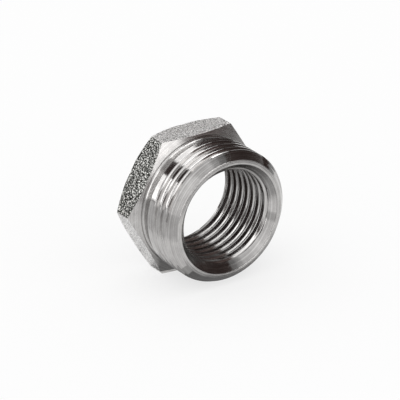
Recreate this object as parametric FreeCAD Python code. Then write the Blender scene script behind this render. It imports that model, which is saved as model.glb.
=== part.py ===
import FreeCAD, Part

import math
import os

# Hex reducing bushing, turned from one stainless steel casting.
# All sizes are in millimetres. X is the axis of the bushing and points towards the nose,
# Z points up, and one flat of the hexagon faces straight down.
# The origin is on the axis, in the plane where the hexagon's front face seats.

# The hexagon, for a 27 mm spanner
ACROSS_FLATS = 27.0
HEX_THICKNESS = 5.6
HEX_CORNER_RADIUS = 0.3

# The chamfers start at circles a little smaller or larger than the width across flats
FRONT_FACE_UNDER_FLATS = 0.8
FRONT_CHAMFER_ANGLE = 20.0
BACK_FACE_OVER_FLATS = 0.4
BACK_CHAMFER_ANGLE = 34.0

# The male thread is 3/4 inch pipe thread, kept here at its major diameter
MALE_MAJOR_DIAMETER = 26.441
NOSE_LENGTH = 10.0
NOSE_CHAMFER_WIDTH = 1.5
NOSE_CHAMFER_LENGTH = 1.6

# The relief neck lets the thread seat up to the hexagon
NECK_DEPTH = 0.65
NECK_LENGTH = 1.2
NECK_SHOULDER_ANGLE = 30.0
NECK_ROOT_RADIUS = 0.4

# The female thread is 1/2 inch pipe thread, kept here at its minor diameter
FEMALE_MINOR_DIAMETER = 18.631
MOUTH_COUNTERSINK_WIDTH = 1.6
BACK_COUNTERSINK_WIDTH = 0.9
COUNTERSINK_ANGLE = 45.0

# The least width of the flat ring that is left between the two bevels of the nose
MIN_NOSE_RIM = 0.4

# How far a cutting or joining shape runs past the surface that it meets
OVERRUN = 1.0

X_AXIS = FreeCAD.Vector(1, 0, 0)
ORIGIN = FreeCAD.Vector(0, 0, 0)


def rise(width, angle):
    """Length along the axis of a cone that widens by width, at angle degrees from a flat face."""
    return width * math.tan(math.radians(angle))


def profile_point(x, radius):
    """A point of a turned profile: x along the axis, radius away from it."""
    return FreeCAD.Vector(x, radius, 0)


def turned(points):
    """A full turn of a closed profile about the axis."""
    outline = Part.makePolygon(points + points[:1])
    return Part.Face(outline).revolve(ORIGIN, X_AXIS, 360)


def corner_reach():
    """Radius of the sharp corners of the hexagon, before they are rounded."""
    return ACROSS_FLATS / 2 / math.cos(math.radians(30))


def hexagon_prism():
    """The six flats and their rounded corners, with corners to the left and right."""
    reach = corner_reach()
    corners = []
    for index in range(6):
        angle = math.radians(60 * index)
        corners.append(FreeCAD.Vector(-HEX_THICKNESS, reach * math.cos(angle), reach * math.sin(angle)))
    face = Part.Face(Part.makePolygon(corners + corners[:1]))
    prism = face.extrude(X_AXIS * HEX_THICKNESS)
    corner_edges = [edge for edge in prism.Edges if abs(edge.tangentAt(edge.FirstParameter).x) > 0.99]
    return prism.makeFillet(HEX_CORNER_RADIUS, corner_edges)


def chamfer_disc():
    """The turned blank that chamfers the hexagon's corners on the front and on the back."""
    outer = corner_reach() + OVERRUN
    front = (ACROSS_FLATS - FRONT_FACE_UNDER_FLATS) / 2
    back = (ACROSS_FLATS + BACK_FACE_OVER_FLATS) / 2
    return turned([
        profile_point(-HEX_THICKNESS, 0),
        profile_point(-HEX_THICKNESS, back),
        profile_point(-HEX_THICKNESS + rise(outer - back, BACK_CHAMFER_ANGLE), outer),
        profile_point(-rise(outer - front, FRONT_CHAMFER_ANGLE), outer),
        profile_point(0, front),
        profile_point(0, 0),
    ])


def hexagon_head():
    """The hexagon with its chamfers: each flat ends in a curved edge, front and back."""
    return hexagon_prism().common(chamfer_disc())


def neck_root_fillet(neck):
    """The ring that rounds the inner corner between the neck and the hexagon's front face."""
    radius = NECK_ROOT_RADIUS
    centre_x = radius
    centre_r = neck + radius
    start = profile_point(0, centre_r)
    middle = profile_point(
        centre_x - radius * math.cos(math.radians(45)), centre_r - radius * math.sin(math.radians(45)))
    end = profile_point(centre_x, neck)
    under = profile_point(centre_x, neck - OVERRUN)
    inside = profile_point(-OVERRUN, neck - OVERRUN)
    behind = profile_point(-OVERRUN, centre_r)
    edges = [
        Part.Arc(start, middle, end).toShape(),
        Part.makeLine(end, under),
        Part.makeLine(under, inside),
        Part.makeLine(inside, behind),
        Part.makeLine(behind, start),
    ]
    return Part.Face(Part.Wire(edges)).revolve(ORIGIN, X_AXIS, 360)


def bevel_share():
    """The share of both nose bevels that the wall has room for. It is 1 where they fit whole."""
    wall = (MALE_MAJOR_DIAMETER - FEMALE_MINOR_DIAMETER) / 2
    return min(1.0, (wall - MIN_NOSE_RIM) / (NOSE_CHAMFER_WIDTH + MOUTH_COUNTERSINK_WIDTH))


def threaded_nose():
    """The male end: relief neck, shoulder, threaded length and the chamfer at the nose."""
    major = MALE_MAJOR_DIAMETER / 2
    neck = major - NECK_DEPTH
    chamfer_length = NOSE_CHAMFER_LENGTH * bevel_share()
    chamfer_width = NOSE_CHAMFER_WIDTH * bevel_share()
    shoulder_end = NECK_LENGTH + NECK_DEPTH / math.tan(math.radians(NECK_SHOULDER_ANGLE))
    nose = turned([
        profile_point(-OVERRUN, 0),
        profile_point(-OVERRUN, neck),
        profile_point(NECK_LENGTH, neck),
        profile_point(shoulder_end, major),
        profile_point(NOSE_LENGTH - chamfer_length, major),
        profile_point(NOSE_LENGTH, major - chamfer_width),
        profile_point(NOSE_LENGTH, 0),
    ])
    return nose.fuse(neck_root_fillet(neck))


def bore():
    """The through bore, with a countersink that leads the thread in at each end."""
    minor = FEMALE_MINOR_DIAMETER / 2
    back = minor + BACK_COUNTERSINK_WIDTH
    mouth_width = MOUTH_COUNTERSINK_WIDTH * bevel_share()
    mouth = minor + mouth_width
    return turned([
        profile_point(-HEX_THICKNESS - OVERRUN, 0),
        profile_point(-HEX_THICKNESS - OVERRUN, back),
        profile_point(-HEX_THICKNESS, back),
        profile_point(-HEX_THICKNESS + rise(BACK_COUNTERSINK_WIDTH, COUNTERSINK_ANGLE), minor),
        profile_point(NOSE_LENGTH - rise(mouth_width, COUNTERSINK_ANGLE), minor),
        profile_point(NOSE_LENGTH, mouth),
        profile_point(NOSE_LENGTH + OVERRUN, mouth),
        profile_point(NOSE_LENGTH + OVERRUN, 0),
    ])


def hex_bushing():
    """The whole bushing in one piece."""
    body = hexagon_head().fuse(threaded_nose()).cut(bore()).removeSplitter()
    return body.Solids[0] if len(body.Solids) == 1 else body


def report(name, shape):
    """Prints what was built, so that a broken piece shows at once."""
    box = shape.BoundBox
    print(
        name, "solids", len(shape.Solids), "faces", len(shape.Faces), "valid", shape.isValid(),
        "volume %.1f" % shape.Volume,
        "x %.3f..%.3f y %.3f..%.3f z %.3f..%.3f" % (box.XMin, box.XMax, box.YMin, box.YMax, box.ZMin, box.ZMax))


os.makedirs("parts", exist_ok=True)
bushing = hex_bushing()
report("hex_bushing", bushing)
bushing.exportStep("parts/hex_bushing.step")
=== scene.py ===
# %% [markdown]
# A hex reducing bushing is a small pipe fitting: a hexagon for the spanner, a nose with a male
# pipe thread, and a smaller female pipe thread right through it. The blank is cast in stainless
# steel, so the six flats keep a grainy cast skin, and everything else is turned on a lathe.
# The lesson builds it as one closed shell, patch by patch, so that every patch can get the finish
# that its tool leaves. The frame comes first, because it says where the part is and how large.

# %% Load the frame
import math

import bmesh
import bpy
import numpy as np
from mathutils import Matrix, Vector


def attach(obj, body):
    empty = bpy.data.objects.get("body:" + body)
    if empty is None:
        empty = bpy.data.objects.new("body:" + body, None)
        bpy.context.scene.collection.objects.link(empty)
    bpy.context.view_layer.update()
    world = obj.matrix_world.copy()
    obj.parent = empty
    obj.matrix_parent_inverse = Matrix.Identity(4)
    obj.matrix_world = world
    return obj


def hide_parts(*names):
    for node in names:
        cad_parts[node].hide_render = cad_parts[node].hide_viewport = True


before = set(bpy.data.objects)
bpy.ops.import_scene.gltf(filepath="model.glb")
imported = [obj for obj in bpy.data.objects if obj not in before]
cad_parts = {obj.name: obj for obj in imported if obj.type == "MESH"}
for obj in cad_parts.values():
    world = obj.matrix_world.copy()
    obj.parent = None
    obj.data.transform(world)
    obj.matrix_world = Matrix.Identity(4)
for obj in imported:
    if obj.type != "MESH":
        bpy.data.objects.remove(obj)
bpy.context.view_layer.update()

# %% [markdown]
# The sizes are those of the drawing, in metres here because Blender works in metres. X is the axis
# of the bushing and points to the nose, and X = 0 is the front face of the hexagon. Writing each
# size once, by name, keeps the patches in step with each other: where two patches meet, both take
# the same name, so their edges meet exactly.

# %% Sizes from the drawing
MM = 0.001
FLAT = 13.5 * MM                 # from the axis to a flat
CORNER_ROUNDING = 0.3 * MM
HEX_BACK = -5.6 * MM
FRONT_FACE = 13.1 * MM           # radius where the cone of the front face starts
FRONT_SLOPE = math.tan(math.radians(20))
BACK_FACE = 13.7 * MM
BACK_SLOPE = math.tan(math.radians(34))
MAJOR = 13.2205 * MM             # crest of the male thread
NECK = 12.5705 * MM
NECK_ROUNDING = 0.4 * MM
NECK_END = 1.2 * MM
LAND_START = NECK_END + (MAJOR - NECK) / math.tan(math.radians(30))
NOSE = 10.0 * MM
NOSE_BEVEL = (1.6 * MM, 1.5 * MM)    # along the axis, and in depth
MINOR = 9.3155 * MM              # crest of the female thread
MOUTH_BEVEL = (1.6 * MM, 1.6 * MM)
BACK_BEVEL = (0.9 * MM, 0.9 * MM)
PITCH = 1.814 * MM               # 14 turns to the inch, on both threads
COLUMNS = 288                    # steps round a turned surface
FINE = 3                         # the cast flats take three steps for each of those
STEPS = COLUMNS * FINE
print("wall between the threads", round((MAJOR - MINOR) / MM, 3), "mm")

# %% [markdown]
# The camera stands where the photographer's did: a little above, off to one side of the nose, with
# a long lens, so that the hexagon and the nose keep nearly parallel edges. The position is found
# by walking back from the object along the line of sight. A small roll levels it as in the photo.

# %% Camera
SIGHT_AZIMUTH, SIGHT_ELEVATION, ROLL = (math.radians(a) for a in (35.19, 25.39, 0.39))
SIGHT_DISTANCE = 0.78413
SHIFT_RIGHT, SHIFT_UP = 0.195 * MM, 0.055 * MM
SENSOR_WIDTH, LENS = 36, 377.2       # both in millimetres
NEAREST, FARTHEST = 0.05, 20         # the range that the camera sees, in metres
back = Vector((
    math.cos(SIGHT_AZIMUTH) * math.cos(SIGHT_ELEVATION),
    -math.sin(SIGHT_AZIMUTH) * math.cos(SIGHT_ELEVATION),
    math.sin(SIGHT_ELEVATION)))
level = Vector((math.sin(SIGHT_AZIMUTH), math.cos(SIGHT_AZIMUTH), 0))
upright = back.cross(level)
right = level * math.cos(ROLL) + upright * math.sin(ROLL)
above = upright * math.cos(ROLL) - level * math.sin(ROLL)
camera = bpy.data.objects.new("camera", bpy.data.cameras.new("camera"))
bpy.context.scene.collection.objects.link(camera)
camera.data.sensor_width = SENSOR_WIDTH
camera.data.lens = LENS
place = back * SIGHT_DISTANCE + right * SHIFT_RIGHT + above * SHIFT_UP
turn = Matrix((right, above, back)).transposed().to_4x4()
camera.matrix_world = Matrix.Translation(place) @ turn
camera.data.clip_start, camera.data.clip_end = NEAREST, FARTHEST
bpy.context.scene.camera = camera
print("camera at", [round(c, 4) for c in place])

# %% [markdown]
# A thread is one small profile repeated along a helix, so it suits Geometry Nodes. It could be a
# profile swept along a spiral curve, but a sheared grid gives more control: each row of the grid
# runs along the helix at one height of the profile, so crests and flanks keep crisp edges, and the
# rows are clamped at both ends, so that the thread ends in a plain circle that the next patch fits.
# The tree draws the profile first: crest, flank, V, flank, crest, with its corners filleted. One
# more point inside each edge of a crest keeps the shading of the crest itself flat.

# %% Helpers for node trees
def node(tree, kind, feeds=None, **settings):
    """Adds a node, gives it its settings, and feeds its inputs with values or with other sockets."""
    made = tree.nodes.new(kind)
    for key, value in settings.items():
        setattr(made, key, value)
    for key, value in (feeds or {}).items():
        socket = made.inputs[key]
        if isinstance(value, bpy.types.NodeSocket):
            tree.links.new(value, socket)
        else:
            socket.default_value = value
    return made


def calc(tree, operation, *values):
    """One Math node. Each value is a number or another node's socket."""
    made = node(tree, "ShaderNodeMath", dict(enumerate(values)), operation=operation)
    return made.outputs[0]


def vector(tree, x=0.0, y=0.0, z=0.0):
    """A vector from three numbers or sockets."""
    return node(tree, "ShaderNodeCombineXYZ", {"X": x, "Y": y, "Z": z}).outputs[0]


def named_tree(name, sizes):
    """A Geometry Nodes tree with named inputs. Each size is a socket kind and a first value."""
    tree = bpy.data.node_groups.new(name, "GeometryNodeTree")
    tree.interface.new_socket("Geometry", in_out="INPUT", socket_type="NodeSocketGeometry")
    tree.interface.new_socket("Geometry", in_out="OUTPUT", socket_type="NodeSocketGeometry")
    for label, (kind, value) in sizes.items():
        socket = tree.interface.new_socket(label, in_out="INPUT", socket_type="NodeSocket" + kind)
        if value is not None:
            socket.default_value = value
    return tree, tree.nodes.new("NodeGroupInput").outputs, tree.nodes.new("NodeGroupOutput").inputs


def identifier(tree, label):
    """The inner name of an input, which a modifier needs in order to set it."""
    sockets = tree.interface.items_tree
    return next(s.identifier for s in sockets if s.name == label and s.in_out == "INPUT")


# %% From a tree to a plain mesh
def made_by(tree, name, values):
    """Runs a tree with these values and returns what it makes as a plain mesh, with no modifier."""
    carrier = bpy.data.objects.new(name, bpy.data.meshes.new(name))
    bpy.context.scene.collection.objects.link(carrier)
    modifier = carrier.modifiers.new(name, "NODES")
    modifier.node_group = tree
    for label, value in values.items():
        modifier[identifier(tree, label)] = value
    bpy.context.view_layer.update()
    ready = carrier.evaluated_get(bpy.context.evaluated_depsgraph_get())
    plain = bpy.data.meshes.new_from_object(ready)
    bpy.data.objects.remove(carrier)
    print(name, len(plain.vertices), "points", len(plain.polygons), "faces")
    return plain


# %% The inputs of the thread
thread_tree, given, result = named_tree("helical_thread", {
    "Pitch": ("Float", PITCH),
    "Crest Radius": ("Float", MAJOR),
    "Cut Side": ("Float", -1.0),
    "Crest Width": ("Float", 0.7 * MM),
    "Flank Angle": ("Float", math.radians(27.5)),
    "Root Rounding": ("Float", 0.25 * MM),
    "Edge Rounding": ("Float", 0.05 * MM),
    "Edge Shading": ("Float", 0.1 * MM),
    "Crest Place": ("Float", 0.0),
    "Start": ("Float", 0.0),
    "End": ("Float", NOSE),
    "Start Bevel Length": ("Float", 0.0),
    "Start Bevel Depth": ("Float", 0.0),
    "End Bevel Length": ("Float", NOSE_BEVEL[0]),
    "End Bevel Depth": ("Float", NOSE_BEVEL[1]),
    "Full Depth From": ("Float", 0.0),
    "No Depth Before": ("Float", -1.0),
    "Columns": ("Int", COLUMNS),
    "Material": ("Material", None),
})
print("inputs of the thread", [s.name for s in thread_tree.interface.items_tree if s.in_out == "INPUT"])

# %% The profile of the thread
ROOT_STEPS, EDGE_STEPS = 4, 2    # how many steps round off a root and a crest edge
FLANK_POINT = 0.4                # a flank has a fixed point this far down, as a share of its depth


def draw_profile(tree, given):
    """The curve of one pitch, from one crest's middle to the next. X is along the axis, Y is depth."""
    half_crest = calc(tree, "MULTIPLY", given["Crest Width"], 0.5)
    half_pitch = calc(tree, "MULTIPLY", given["Pitch"], 0.5)
    half_gap = calc(tree, "SUBTRACT", half_pitch, half_crest)
    v_depth = calc(tree, "DIVIDE", half_gap, calc(tree, "TANGENT", given["Flank Angle"]))
    part_gap = calc(tree, "MULTIPLY", half_gap, FLANK_POINT)
    part_depth = calc(tree, "MULTIPLY", v_depth, FLANK_POINT)
    on_flank = calc(tree, "ADD", half_crest, part_gap)
    on_crest = calc(tree, "SUBTRACT", half_crest, given["Edge Shading"])
    places = [
        vector(tree),
        vector(tree, on_crest),
        vector(tree, half_crest),
        vector(tree, on_flank, part_depth),
        vector(tree, half_pitch, v_depth),
        vector(tree, calc(tree, "SUBTRACT", given["Pitch"], on_flank), part_depth),
        vector(tree, calc(tree, "SUBTRACT", given["Pitch"], half_crest)),
        vector(tree, calc(tree, "SUBTRACT", given["Pitch"], on_crest)),
        vector(tree, given["Pitch"]),
    ]
    edge, root = given["Edge Rounding"], given["Root Rounding"]
    radii = [0.0, 0.0, edge, 0.0, root, 0.0, edge, 0.0, 0.0]
    counts = [1, 1, EDGE_STEPS, 1, ROOT_STEPS, 1, EDGE_STEPS, 1, 1]
    line = node(tree, "GeometryNodeMeshLine", {"Count": len(places)}).outputs[0]
    index = tree.nodes.new("GeometryNodeInputIndex").outputs[0]
    choose_place = node(tree, "GeometryNodeIndexSwitch", data_type="VECTOR")
    choose_radius = node(tree, "GeometryNodeIndexSwitch", data_type="FLOAT")
    choose_count = node(tree, "GeometryNodeIndexSwitch", data_type="INT")
    for switch, values in ((choose_place, places), (choose_radius, radii), (choose_count, counts)):
        while len(switch.index_switch_items) < len(values):
            switch.index_switch_items.new()
        tree.links.new(index, switch.inputs[0])
        for number, value in enumerate(values):
            if isinstance(value, bpy.types.NodeSocket):
                tree.links.new(value, switch.inputs[number + 1])
            else:
                switch.inputs[number + 1].default_value = value
    placed = node(tree, "GeometryNodeSetPosition", {
        "Geometry": line, "Position": choose_place.outputs[0]})
    curve = node(tree, "GeometryNodeMeshToCurve", {"Mesh": placed.outputs[0]}).outputs[0]
    rounded = node(tree, "GeometryNodeFilletCurve", {
        "Curve": curve, "Radius": choose_radius.outputs[0], "Count": choose_count.outputs[0]},
        mode="POLY")
    return rounded.outputs[0]


profile = draw_profile(thread_tree, given)
sizes = node(thread_tree, "GeometryNodeAttributeDomainSize", {0: profile}, component="CURVE")
rows_a_pitch = calc(thread_tree, "SUBTRACT", sizes.outputs[0], 1.0)
print("nodes for the profile", len(thread_tree.nodes))

# %% [markdown]
# The grid's points are numbered row after row. From the number come the row and the column; from
# the column the angle; from the row the place in the profile. A right-hand thread moves towards
# the nose as it turns from +Y to +Z, by one pitch a turn. The groove fades out before it reaches
# the land next to the neck, as it does where a threading die stops, and both ends are bevelled.

# %% The helix
SPARE_TURNS = 3.0                # more than fit, so that there are rows to clamp at both ends
GUARD = 0.5                      # added before a division, so that rounding can't lose a row
tree = thread_tree
length = calc(tree, "SUBTRACT", given["End"], given["Start"])
turns = calc(tree, "ADD", calc(tree, "CEIL", calc(tree, "DIVIDE", length, given["Pitch"])), SPARE_TURNS)
first = calc(tree, "FLOOR", calc(
    tree, "DIVIDE", calc(tree, "SUBTRACT", given["Start"], given["Crest Place"]), given["Pitch"]))
first = calc(tree, "SUBTRACT", first, 1.0)
row_count = calc(tree, "ADD", calc(tree, "MULTIPLY", turns, rows_a_pitch), 1.0)
points_a_row = calc(tree, "ADD", given["Columns"], 1.0)
grid = node(tree, "GeometryNodeMeshGrid", {
    "Vertices X": row_count, "Vertices Y": points_a_row}).outputs[0]
number = tree.nodes.new("GeometryNodeInputIndex").outputs[0]
row = calc(tree, "FLOOR", calc(tree, "DIVIDE", calc(tree, "ADD", number, GUARD), points_a_row))
column = calc(tree, "SUBTRACT", number, calc(tree, "MULTIPLY", row, points_a_row))
share = calc(tree, "DIVIDE", column, given["Columns"])
angle = calc(tree, "MULTIPLY", share, 2 * math.pi)
pitches = calc(tree, "FLOOR", calc(tree, "DIVIDE", calc(tree, "ADD", row, GUARD), rows_a_pitch))
spot = calc(tree, "SUBTRACT", row, calc(tree, "MULTIPLY", pitches, rows_a_pitch))
position = tree.nodes.new("GeometryNodeInputPosition").outputs[0]
sample = node(
    tree, "GeometryNodeSampleIndex", {"Geometry": profile}, data_type="FLOAT_VECTOR", domain="POINT")
tree.links.new(position, sample.inputs["Value"])
tree.links.new(spot, sample.inputs["Index"])
drawn = node(tree, "ShaderNodeSeparateXYZ", {0: sample.outputs[0]})
whole = calc(tree, "ADD", calc(tree, "ADD", pitches, first), share)
in_pitch = calc(tree, "ADD", given["Crest Place"], drawn.outputs["X"])
along = calc(tree, "MULTIPLY_ADD", whole, given["Pitch"], in_pitch)
along = calc(tree, "MINIMUM", calc(tree, "MAXIMUM", along, given["Start"]), given["End"])
print("nodes for the helix", len(tree.nodes))

# %% Its run-out and its bevels
EDGE_BLEND = 0.03 * MM           # rounds the line where a bevel meets the groove
START_SLOPE = 3.0                # no groove gets deeper than this slope from the start face
WELD = 1e-7                      # points closer than this are one
SHORTEST = 1e-6                  # stands for the length of a bevel that is not there
fade = node(tree, "ShaderNodeMapRange", {
    "Value": along, "From Min": given["No Depth Before"], "From Max": given["Full Depth From"]},
    interpolation_type="SMOOTHSTEP").outputs[0]
groove = calc(tree, "MULTIPLY", drawn.outputs["Y"], fade)


def bevel_depth(distance, length, depth):
    """How deep a bevel cuts at this distance from its end face. It is negative beyond the bevel."""
    share = calc(tree, "DIVIDE", distance, calc(tree, "MAXIMUM", length, SHORTEST))
    left = calc(tree, "SUBTRACT", 1.0, share)
    return calc(tree, "MULTIPLY", left, depth)


from_start = calc(tree, "SUBTRACT", along, given["Start"])
from_end = calc(tree, "SUBTRACT", given["End"], along)
start_cut = bevel_depth(from_start, given["Start Bevel Length"], given["Start Bevel Depth"])
end_cut = bevel_depth(from_end, given["End Bevel Length"], given["End Bevel Depth"])
depth = calc(tree, "SMOOTH_MAX", groove, end_cut, EDGE_BLEND)
depth = calc(tree, "SMOOTH_MAX", depth, start_cut, EDGE_BLEND)
most = calc(tree, "MULTIPLY_ADD", from_start, START_SLOPE, given["Start Bevel Depth"])
depth = calc(tree, "MAXIMUM", calc(tree, "MINIMUM", depth, most), 0.0)
radius = calc(tree, "MULTIPLY_ADD", depth, given["Cut Side"], given["Crest Radius"])
across = calc(tree, "MULTIPLY", radius, calc(tree, "COSINE", angle))
upward = calc(tree, "MULTIPLY", radius, calc(tree, "SINE", angle))
place = vector(tree, along, across, upward)
wound = node(tree, "GeometryNodeSetPosition", {"Geometry": grid, "Position": place})
merged = node(tree, "GeometryNodeMergeByDistance", {"Geometry": wound.outputs[0], "Distance": WELD})
real = node(tree, "GeometryNodeRealizeInstances", {"Geometry": merged.outputs[0]})
coated = node(tree, "GeometryNodeSetMaterial", {
    "Geometry": real.outputs[0], "Material": given["Material"]})
tree.links.new(coated.outputs[0], result[0])
print("nodes in the whole tree", len(tree.nodes))

# %% [markdown]
# Both threads come from the one tree. The male one has broad worn crests, because the die only cuts
# to depth in the grooves, and its first groove starts beyond a plain land. The female one is cut
# with a tap right through, and a countersink takes its crests away at each end.

# %% Both threads
RIM = 0.06 * MM                  # the nose rim is rounded in the last stretch before the end face
turned = bpy.data.materials.new("turned_steel")
threaded = bpy.data.materials.new("threaded_steel")
cast = bpy.data.materials.new("cast_steel")
faced = bpy.data.materials.new("faced_steel")


def bevel_left(bevel):
    """Depth of a bevel at the distance RIM from its end face."""
    return bevel[1] * (1 - RIM / bevel[0])


def crest_at(x, degrees):
    """Where a crest starts at +Y, if it is to cross x at this angle round the axis."""
    return x - PITCH * degrees / 360


male = made_by(thread_tree, "male_thread", {
    "Crest Radius": MAJOR,
    "Cut Side": -1.0,
    "Crest Width": 0.76 * MM,
    "Edge Rounding": 0.12 * MM,
    "Edge Shading": 0.3 * MM,
    "Crest Place": crest_at(5.13 * MM, 130),
    "Start": LAND_START,
    "End": NOSE - RIM,
    "End Bevel Length": NOSE_BEVEL[0] - RIM,
    "End Bevel Depth": bevel_left(NOSE_BEVEL),
    "No Depth Before": 3.0 * MM,
    "Full Depth From": 3.8 * MM,
    "Material": threaded,
})
female = made_by(thread_tree, "female_thread", {
    "Crest Radius": MINOR,
    "Cut Side": 1.0,
    "Crest Width": 0.9 * MM,
    "Edge Rounding": 0.1 * MM,
    "Edge Shading": 0.1 * MM,
    "Crest Place": crest_at(3.72 * MM, -45),
    "Start": HEX_BACK,
    "End": NOSE - RIM,
    "Start Bevel Length": BACK_BEVEL[0],
    "Start Bevel Depth": BACK_BEVEL[1],
    "End Bevel Length": MOUTH_BEVEL[0] - RIM,
    "End Bevel Depth": bevel_left(MOUTH_BEVEL),
    "Material": threaded,
})

# %% [markdown]
# The rest is rings of points joined to each other. A lathe only ever makes circles, so each turned
# patch is a list of places on a profile, and each place becomes a ring. The hexagon's outline is a
# ring too, whose radius changes with the angle: straight along a flat, and a small arc at a corner.

# %% Rings and strips
TURNED_SLOT, CAST_SLOT, THREADED_SLOT, FACED_SLOT = range(4)
shell = bmesh.new()
patch_of = shell.faces.layers.int.new("patch")


def ring(x, reach, steps):
    """A ring of points round the axis. x and reach are numbers, or one number for each step."""
    angles = np.arange(steps) * 2 * math.pi / steps
    places = zip(np.broadcast_to(x, steps), np.broadcast_to(reach, steps), angles)
    return [
        shell.verts.new((along, out * math.cos(turn), out * math.sin(turn)))
        for along, out, turn in places]


def face(points, patch, slot):
    """One face of the shell, with its patch and the slot of its finish."""
    made = shell.faces.new(points)
    made[patch_of] = patch
    made.material_index = slot
    made.smooth = True


def strip(outer, inner, patch, slot=TURNED_SLOT):
    """Quads between two rings with the same number of points."""
    count = len(outer)
    for i in range(count):
        k = (i + 1) % count
        face((outer[i], outer[k], inner[k], inner[i]), patch, slot)


def gather(fine, coarse, patch, slot=TURNED_SLOT):
    """Joins a ring to one with a third of its points: a triangle, a quad and a triangle a step."""
    for i, point in enumerate(coarse):
        after = coarse[(i + 1) % len(coarse)]
        a, b, c, d = (fine[(FINE * i + k) % len(fine)] for k in range(4))
        face((a, b, point), patch, slot)
        face((b, c, after, point), patch, slot)
        face((c, d, after), patch, slot)


def arc(centre, radius, start, end, steps):
    """Points on a small arc of a profile, as (x, reach), with its angles in degrees."""
    turns = np.radians(np.linspace(start, end, steps + 1))
    return [(centre[0] + radius * math.cos(a), centre[1] + radius * math.sin(a)) for a in turns]


def lathe(places, patch):
    """Rings at these places of a profile, joined in a row."""
    rings = [ring(x, reach, COLUMNS) for x, reach in places]
    for one, other in zip(rings, rings[1:]):
        strip(one, other, patch)


# %% The hexagon's outline
HALF_SIDE = math.pi / 6          # half of the angle that one flat takes


def outline(angles):
    """Reach of the hexagon at these angles: a flat faces +Z, and the corners are rounded."""
    off_flat = (angles - math.pi / 2 + HALF_SIDE) % (2 * HALF_SIDE) - HALF_SIDE
    straight = FLAT / np.cos(off_flat)
    off_corner = HALF_SIDE - np.abs(off_flat)
    centre = FLAT / math.cos(HALF_SIDE) - CORNER_ROUNDING / math.sin(2 * HALF_SIDE)
    inside = np.maximum(CORNER_ROUNDING ** 2 - (centre * np.sin(off_corner)) ** 2, 0)
    rounded = centre * np.cos(off_corner) + np.sqrt(inside)
    side = math.tan(HALF_SIDE)
    tangent = HALF_SIDE - math.atan(side - CORNER_ROUNDING * side / FLAT)
    return np.where(off_corner < tangent, rounded, straight)


around = np.arange(STEPS) * 2 * math.pi / STEPS
reach = outline(around)
front_edge = -(reach - FRONT_FACE) * FRONT_SLOPE
back_edge = HEX_BACK + np.maximum(0, reach - BACK_FACE) * BACK_SLOPE
print("corner to corner", round(2000 * reach.max(), 3), "mm")

# %% The hexagon
CAST, BACK_CONE, BACK_PLANE, FRONT_CONE, RELIEF, RIM_FACE, MALE, FEMALE = range(1, 9)
FLAT_ROWS = 24
HALFWAY = 13.35 * MM             # a ring on the front cone, just inside the flats
BACK_RINGS = (13.2 * MM, 12.4 * MM, 11.6 * MM, 10.9 * MM, MINOR + BACK_BEVEL[1])
rows = [
    ring(back_edge + (front_edge - back_edge) * i / FLAT_ROWS, reach, STEPS)
    for i in range(FLAT_ROWS + 1)]
for one, other in zip(rows, rows[1:]):
    strip(one, other, CAST, CAST_SLOT)
halfway_x = -(HALFWAY - FRONT_FACE) * FRONT_SLOPE
strip(ring(front_edge, reach, STEPS), ring(halfway_x, HALFWAY, STEPS), FRONT_CONE, FACED_SLOT)
gather(ring(halfway_x, HALFWAY, STEPS), ring(0, FRONT_FACE, COLUMNS), FRONT_CONE, FACED_SLOT)
back_reach = np.minimum(reach, BACK_FACE)
strip(ring(back_edge, reach, STEPS), ring(HEX_BACK, back_reach, STEPS), BACK_CONE)
gather(ring(HEX_BACK, back_reach, STEPS), ring(HEX_BACK, BACK_RINGS[0], COLUMNS), BACK_PLANE)
lathe([(HEX_BACK, radius) for radius in BACK_RINGS], BACK_PLANE)
print("faces of the hexagon", len(shell.faces))

# %% The neck and the nose face
NECK_ARC_STEPS = 6
RIM_TURN = 0.35 * RIM            # the rounding of the rim turns here
RIM_INSET = 1.3 * RIM            # and reaches the flat end face here
neck_centre = (NECK_ROUNDING, NECK + NECK_ROUNDING)
neck_arc = arc(neck_centre, NECK_ROUNDING, 180, 270, NECK_ARC_STEPS)
lathe([(0, FRONT_FACE)] + neck_arc + [(NECK_END, NECK), (LAND_START, MAJOR)], RELIEF)
nose_out = MAJOR - bevel_left(NOSE_BEVEL)
nose_in = MINOR + bevel_left(MOUTH_BEVEL)
lathe([
    (NOSE - RIM, nose_out),
    (NOSE - RIM_TURN, nose_out - RIM_TURN),
    (NOSE, nose_out - RIM_INSET),
    (NOSE, nose_in + RIM_INSET),
    (NOSE - RIM_TURN, nose_in + RIM_TURN),
    (NOSE - RIM, nose_in),
], RIM_FACE)
print("rim of the nose", round((nose_out - nose_in) / MM, 3), "mm wide")

# %% Close the shell
MEND = 1e-6                      # patches whose points are closer than this are sewn together
SHARP_BEND, SHARP_SEAM = 40, 8   # degrees, inside a patch and where two patches meet
for mesh, patch in ((male, MALE), (female, FEMALE)):
    before = len(shell.faces)
    shell.from_mesh(mesh)
    shell.faces.ensure_lookup_table()
    for new in shell.faces[before:]:
        new[patch_of] = patch
        new.material_index = THREADED_SLOT
        new.smooth = True
    bpy.data.meshes.remove(mesh)
bmesh.ops.remove_doubles(shell, verts=shell.verts, dist=MEND)
bmesh.ops.dissolve_degenerate(shell, edges=shell.edges, dist=WELD)
bmesh.ops.recalc_face_normals(shell, faces=shell.faces)
open_edges = [e for e in shell.edges if len(e.link_faces) != 2]
for edge in shell.edges:
    if len(edge.link_faces) == 2:
        patches = {wall[patch_of] for wall in edge.link_faces}
        limit = SHARP_BEND if len(patches) == 1 else SHARP_SEAM
        bend = math.degrees(edge.calc_face_angle(0))
        edge.smooth = bend < limit and patches != {RELIEF, MALE}
volume = shell.calc_volume(signed=True)
print("open edges", len(open_edges), "faces", len(shell.faces), "volume mm3", round(volume * 1e9, 1))
body_mesh = bpy.data.meshes.new("hex_bushing_body")
shell.to_mesh(body_mesh)
shell.free()
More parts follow.
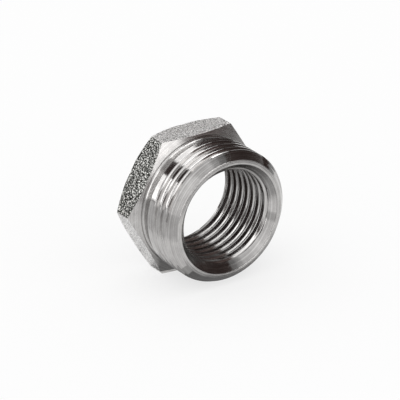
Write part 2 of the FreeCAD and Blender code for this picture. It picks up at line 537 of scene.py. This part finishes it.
for material in (turned, cast, threaded, faced):
    body_mesh.materials.append(material)
body = bpy.data.objects.new("hex_bushing_body", body_mesh)
bpy.context.scene.collection.objects.link(body)
print("triangles", sum(len(p.vertices) - 2 for p in body_mesh.polygons))

# %% [markdown]
# Turned steel carries the track of the tool: fine grooves that run round the axis. They spread a
# reflection across the grooves and keep it narrow along them, which the shader calls anisotropy.
# Its direction is the way round the axis, worked out from the Object coordinates. Single grooves
# that are a little deeper show as lines, and come from noise that only changes with X and radius.
# One function makes three finishes: the turned faces show most of the tool's track, the threads
# are smoother, and the front face of the hexagon is a little lighter and rougher.

# %% Helpers for materials
def shader_of(material):
    """The node tree of a material and its main shader."""
    material.use_nodes = True
    tree = material.node_tree
    return tree, tree.nodes["Principled BSDF"]


def noise(tree, coordinates, scale, detail=2.0, roughness=0.5):
    """Smooth random values from 0 to 1 at these coordinates."""
    return node(tree, "ShaderNodeTexNoise", {
        "Vector": coordinates, "Scale": scale, "Detail": detail, "Roughness": roughness}).outputs["Fac"]


def remap(tree, value, low, high, new_low=0.0, new_high=1.0):
    """Stretches the range from low to high into the new one, and clamps what is outside."""
    return node(tree, "ShaderNodeMapRange", {
        "Value": value, "From Min": low, "From Max": high,
        "To Min": new_low, "To Max": new_high}).outputs[0]


def tint(tree, value, dark, light):
    """A colour between two, by a value from 0 to 1."""
    made = node(tree, "ShaderNodeMix", data_type="RGBA")
    tree.links.new(value, made.inputs[0])
    made.inputs[6].default_value = (*dark, 1)
    made.inputs[7].default_value = (*light, 1)
    return made.outputs[2]


def raise_bumps(tree, shader, height, distance):
    """Lets a height from 0 to 1 tilt the reflections, as if it were this deep."""
    bump = node(tree, "ShaderNodeBump", {"Strength": 1.0, "Distance": distance, "Height": height})
    tree.links.new(bump.outputs[0], shader.inputs["Normal"])


# %% Turned steel
DARK_STEEL, LIGHT_STEEL = (0.34, 0.33, 0.325), (0.57, 0.56, 0.55)
WOBBLE = 0.03 * MM               # the tool's track strays by this much
WOBBLE_SCALE, MOTTLE_SCALE = 160.0, 420.0
QUARTER_TURN = 0.25              # turns the stretched highlights to lie across the track
LINE_SHARE = 0.7                 # how much of the colour follows the lines, and not the mottle
LINE_LOW, LINE_HIGH = 0.3, 0.7       # the range of the lines' noise that the roughness follows
SHADE_LOW, SHADE_HIGH = 0.38, 0.62   # and the range that the colour follows


def tool_marks(material, smooth, rough, along_grain, line_depth, line_scale, lightness=1.0):
    """Brushed metal whose marks run round the axis, with roughness from smooth to rough."""
    tree, shader = shader_of(material)
    spot = tree.nodes.new("ShaderNodeTexCoord").outputs["Object"]
    parts = node(tree, "ShaderNodeSeparateXYZ", {0: spot}).outputs
    across, upward = (calc(tree, "MULTIPLY", parts[axis], parts[axis]) for axis in "YZ")
    reach = calc(tree, "SQRT", calc(tree, "ADD", across, upward))
    wobble = calc(tree, "MULTIPLY", noise(tree, spot, WOBBLE_SCALE), WOBBLE)
    turning = vector(tree, calc(tree, "ADD", parts["X"], wobble), calc(tree, "ADD", reach, wobble))
    lines = noise(tree, turning, line_scale, detail=3.0, roughness=0.7)
    mottle = noise(tree, spot, MOTTLE_SCALE, detail=4.0, roughness=0.6)
    line_part = calc(tree, "MULTIPLY", lines, LINE_SHARE)
    shade = calc(tree, "ADD", line_part, calc(tree, "MULTIPLY", mottle, 1.0 - LINE_SHARE))
    dark, light = ([lightness * part for part in steel] for steel in (DARK_STEEL, LIGHT_STEEL))
    colour = tint(tree, remap(tree, shade, SHADE_LOW, SHADE_HIGH), dark, light)
    tree.links.new(colour, shader.inputs["Base Color"])
    roughness = remap(tree, lines, LINE_LOW, LINE_HIGH, smooth, rough)
    tree.links.new(roughness, shader.inputs["Roughness"])
    shader.inputs["Metallic"].default_value = 1.0
    shader.inputs["Anisotropic"].default_value = along_grain
    shader.inputs["Anisotropic Rotation"].default_value = QUARTER_TURN
    round_axis = vector(tree, 0.0, calc(tree, "MULTIPLY", parts["Z"], -1.0), parts["Y"])
    tree.links.new(round_axis, shader.inputs["Tangent"])
    raise_bumps(tree, shader, lines, line_depth)
    print(material.name, len(tree.nodes), "nodes")


tool_marks(turned, smooth=0.13, rough=0.28, along_grain=0.90, line_depth=0.07 * MM, line_scale=3000.0)
tool_marks(threaded, smooth=0.12, rough=0.19, along_grain=0.85, line_depth=0.003 * MM, line_scale=3500.0)
tool_marks(
    faced, smooth=0.22, rough=0.30, along_grain=0.90, line_depth=0.009 * MM, line_scale=3500.0,
    lightness=1.08)

# %% [markdown]
# The flats are as cast. Their skin is covered in grains a few tenths of a millimetre across, and
# each grain tilts its own way and reflects another part of the room, which makes the speckle. Bump
# alone would do in a busy room. In this plain one the pits between the grains get a painted shade.
# Every other flat has nearly black pits, a painted shade of light raking across it. The flats in
# between have a lighter, softer grain, which is a painted even light. The sine of three times the
# angle round the axis changes sign at each corner.

# %% Cast steel
# The pit colours are painted shade. The darker set paints light raking across every other flat, and the
# lighter set paints even light on the flats between.
PIT_SHADE, GRAIN = (0.01, 0.01, 0.008), (0.64, 0.64, 0.615)
FINE_PIT_SHADE, FINE_GRAIN = (0.26, 0.255, 0.25), (0.92, 0.91, 0.90)
GRAIN_SCALE, FINE_GRAIN_SCALE = 4300.0, 3400.0
GRAIN_LOW, GRAIN_HIGH = 0.51, 0.585  # the range of the noise between the pits and the grains
FINE_LOW, FINE_HIGH = 0.38, 0.62
GRAIN_DETAIL = {"detail": 2.0, "roughness": 0.6}
GRAIN_DEPTH = 0.05 * MM
CAST_ROUGHNESS = 0.34
FLAT_EDGE = 0.02                 # how wide the change at a corner is, as a sine
tree, shader = shader_of(cast)
spot = tree.nodes.new("ShaderNodeTexCoord").outputs["Object"]
parts = node(tree, "ShaderNodeSeparateXYZ", {0: spot}).outputs
round_angle = calc(tree, "ARCTAN2", parts["Z"], parts["Y"])
wave = calc(tree, "SINE", calc(tree, "MULTIPLY", round_angle, 3.0))
# Picks the flats that get the painted raking shade.
raked_flat = remap(tree, wave, -FLAT_EDGE, FLAT_EDGE)
grain = remap(tree, noise(tree, spot, GRAIN_SCALE, **GRAIN_DETAIL), GRAIN_LOW, GRAIN_HIGH)
fine_grain = remap(tree, noise(tree, spot, FINE_GRAIN_SCALE, **GRAIN_DETAIL), FINE_LOW, FINE_HIGH)
raking_shade_colour = tint(tree, grain, PIT_SHADE, GRAIN)
even_light_colour = tint(tree, fine_grain, FINE_PIT_SHADE, FINE_GRAIN)
both = node(tree, "ShaderNodeMix", data_type="RGBA")
for socket, source in ((0, raked_flat), (6, even_light_colour), (7, raking_shade_colour)):
    tree.links.new(source, both.inputs[socket])
tree.links.new(both.outputs[2], shader.inputs["Base Color"])
shader.inputs["Metallic"].default_value = 1.0
shader.inputs["Roughness"].default_value = CAST_ROUGHNESS
height = node(tree, "ShaderNodeMix", {0: raked_flat, 2: fine_grain, 3: grain}).outputs[0]
raise_bumps(tree, shader, height, GRAIN_DEPTH)
print(cast.name, len(tree.nodes), "nodes")

# %% [markdown]
# Polished metal has no look of its own: it shows the room. So the room is built with care, from
# flat cards. Each is a plain emitter, from a lit window down to a board that is nearly black, and
# its ray visibility is cut down to reflections, so that it neither lights the floor nor shows
# itself. The darkest stretches of the real metal are a little brown, so black board is a warm black.

# %% Cards
BOARD_BELOW = 0.2                # a card that is darker than this is black board
WARM_BLACK = (1.0, 0.72, 0.66)
WHITE = (1.0, 1.0, 1.0)


def flat_card(name, corners):
    """A flat four-cornered object."""
    mesh = bpy.data.meshes.new(name)
    mesh.from_pydata(corners, [], [(0, 1, 2, 3)])
    card = bpy.data.objects.new(name, mesh)
    bpy.context.scene.collection.objects.link(card)
    return card


def glow_card(name, corners, strength):
    """A flat panel of plain light, or of nearly none, that only reflections see."""
    card = flat_card(name, corners)
    material = bpy.data.materials.new(name)
    material.use_nodes = True
    tree = material.node_tree
    tree.nodes.clear()
    colour = WARM_BLACK if strength < BOARD_BELOW else WHITE
    glow = node(tree, "ShaderNodeEmission", {"Strength": strength, "Color": (*colour, 1)})
    out = tree.nodes.new("ShaderNodeOutputMaterial")
    tree.links.new(glow.outputs[0], out.inputs["Surface"])
    card.data.materials.append(material)
    card.visible_camera = False
    card.visible_diffuse = False
    card.visible_shadow = False
    card.visible_transmission = False
    print(name, "strength", strength)
    return card


# %% [markdown]
# The photo was taken on white, with hardly a shadow. A lit floor alone would turn grey near the
# part, and a glowing one would lose the shadow. So the floor is a mix: for what the camera and the
# reflections see, most of it glows plain white, and the rest is a pale matt floor that keeps the
# soft shadow. The world is white, and it lights the floor evenly from all sides.

# %% The floor and the background
FLOOR = -FLAT
FLOOR_HALF = 6                   # metres
FLOOR_COLOUR = (0.95, 0.95, 0.95)
FLOOR_ROUGHNESS = 0.9
GLOWING_SHARE = 0.7


def seen_plainly(tree):
    """1 for the camera and for reflections, which see a plain white floor, 0 for other rays."""
    path = tree.nodes.new("ShaderNodeLightPath").outputs
    seen = calc(tree, "ADD", path["Is Camera Ray"], path["Is Glossy Ray"])
    return calc(tree, "MINIMUM", calc(tree, "ADD", seen, path["Is Transmission Ray"]), 1.0)


floor = flat_card("floor", [
    (x * FLOOR_HALF, y * FLOOR_HALF, FLOOR) for x, y in ((-1, -1), (1, -1), (1, 1), (-1, 1))])
floor_material = bpy.data.materials.new("floor")
floor.data.materials.append(floor_material)
tree, shader = shader_of(floor_material)
shader.inputs["Base Color"].default_value = (*FLOOR_COLOUR, 1)
shader.inputs["Roughness"].default_value = FLOOR_ROUGHNESS
shader.inputs["Specular IOR Level"].default_value = 0.0
glow = node(tree, "ShaderNodeEmission", {"Strength": 1.0})
mix = node(tree, "ShaderNodeMixShader", {0: calc(tree, "MULTIPLY", seen_plainly(tree), GLOWING_SHARE)})
tree.links.new(shader.outputs[0], mix.inputs[1])
tree.links.new(glow.outputs[0], mix.inputs[2])
tree.links.new(mix.outputs[0], tree.nodes["Material Output"].inputs["Surface"])

world = bpy.data.worlds.new("studio")
bpy.context.scene.world = world
world.use_nodes = True
sky = world.node_tree.nodes["Background"]
sky.inputs["Color"].default_value = (*WHITE, 1)
sky.inputs["Strength"].default_value = 1.0
print("floor at", round(FLOOR / MM, 3), "mm")

# %% [markdown]
# Now the cards go up. Windows hang overhead, on the left and beyond the nose. Dark boards stand
# between them and all along the right, which draws bands with crisp ends on the threads, and a dim
# slit in the right wall edges the dark crests with thin lines. Boards on the table tone what the
# metal shows of the floor. Two dark ones right under the part are a painted contact shadow, seen
# only in reflections. Two small ones just behind the bore keep its thread dark.

# %% Kinds of cards
WALL_DISTANCE = 0.6
SLIT_DISTANCE = 0.58
NEAR_SLIT_DISTANCE = 0.48
BOARD_LIFT = 0.5 * MM            # lying boards are this much above the floor
UPPER_LIFT = 0.6 * MM            # and this much where they lie on another one


def long_card(name, low, high, start, end, strength, reach=WALL_DISTANCE):
    """A card parallel to the axis, from start to end, between two angles round it in degrees."""
    angles = (math.radians(low), math.radians(high))
    (y0, z0), (y1, z1) = ((reach * math.cos(a), max(reach * math.sin(a), FLOOR)) for a in angles)
    corners = [(start, y0, z0), (end, y0, z0), (end, y1, z1), (start, y1, z1)]
    return glow_card(name, corners, strength)


def end_card(name, x, left, right, bottom, top, strength):
    """A card across the axis, in front of the nose or behind the hexagon."""
    corners = [(x, left, bottom), (x, right, bottom), (x, right, top), (x, left, top)]
    return glow_card(name, corners, strength)


def floor_board(name, start, end, left, right, strength, lift=BOARD_LIFT):
    """A board that lies on the table beside the part."""
    z = FLOOR + lift
    corners = [(start, left, z), (end, left, z), (end, right, z), (start, right, z)]
    return glow_card(name, corners, strength)


# %% Windows and boards overhead and on the sides
long_card("top_window", 64, 110, -0.35, 0.06, 4.2)
long_card("top_window_far", 66, 107, -0.9, -0.35, 1.75)
long_card("left_window", 134, 178, -0.2, 0.2, 2.8)
long_card("left_window_far", 134, 178, -0.9, -0.5, 3.2)
long_card("left_board_between", 110, 178, -0.5, -0.2, 0.05)
long_card("top_gap", 107, 134, -0.9, -0.5, 0.04)
long_card("top_gap_near", 110, 134, -0.2, 0.25, 0.9)
long_card("top_front_board", 60, 71, 0.06, 0.55, 0.26)
long_card("top_front_board_edge", 71, 82, 0.06, 0.55, 0.5)
long_card("top_front_edge", 60, 72, 0.55, 0.9, 0.15)
long_card("top_front_gap", 82, 110, 0.06, 0.55, 0.8)
long_card("top_front_light", 72, 134, 0.6, 1.15, 1.4)
long_card("back_skirting", 178.5, 181, -0.9, -0.5, 0.2)
long_card("right_wall_far", -3, 66, -1.2, -0.25, 0.045)
long_card("right_wall", -3, 60, -0.25, 0.5, 0.05)
long_card("right_wall_near", -3, 60, 0.5, 1.05, 0.13)
long_card("right_slit", 48, 62, -0.35, 0.1, 1.5, SLIT_DISTANCE)
long_card("right_slit_low", 8, 50, -0.2, -0.03, 0.6, NEAR_SLIT_DISTANCE)

# %% Windows and boards at both ends, and behind the bore
end_card("back_end", -1.2, -0.7, 0.25, FLOOR, 0.7, 0.05)
end_card("front_window", 1.2, -0.2, 0.42, FLOOR, 0.62, 2.5)
end_card("front_left_window", 1.2, -0.55, -0.2, 0.2, 0.75, 2.7)
end_card("front_left_board", 1.1, -1.0, -0.14, FLOOR, 0.16, 0.1)
end_card("bore_shade", -0.0075, -0.0095, 0.0085, -0.0085, 0.0095, 0.02)
end_card("bore_half_shade", -0.008, -0.0095, 0.0095, -0.013, 0.0095, 0.25)

# %% Boards on the table
floor_board("front_floor_board", 0.05, 0.6, -0.006, 0.3, 0.4)
floor_board("front_middle_floor_board", 0.034, 0.6, -0.024, -0.008, 1.35)
floor_board("front_near_floor_board", 0.018, 0.034, -0.024, -0.008, 1.0)
floor_board("left_floor_board", -0.9, -0.018, -0.9, -0.024, 0.7)
floor_board("left_front_floor_board", 0.018, 0.9, -0.9, -0.0245, 0.7)
floor_board("left_near_board", -0.0175, -0.002, -0.06, -0.022, 0.7)
floor_board("left_dark_board", 0.06, 0.24, -0.042, -0.0225, 0.08, UPPER_LIFT)
floor_board("right_floor_board", -0.13, 0.045, 0.12, 0.6, 0.35)
# A painted contact shadow under the part, which only reflections see.
floor_board("contact_shadow_board_wide", -0.004, 0.02, -0.011, 0.02, 0.5)
floor_board("contact_shadow_board", -0.003, 0.013, -0.0085, 0.012, 0.2, UPPER_LIFT)

# %% [markdown]
# The last cell hides the plain CAD solid and lets the finished shell stand for it.

# %% Hand over
bpy.context.scene.view_settings.view_transform = "Standard"
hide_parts("hex_bushing")
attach(body, "root")
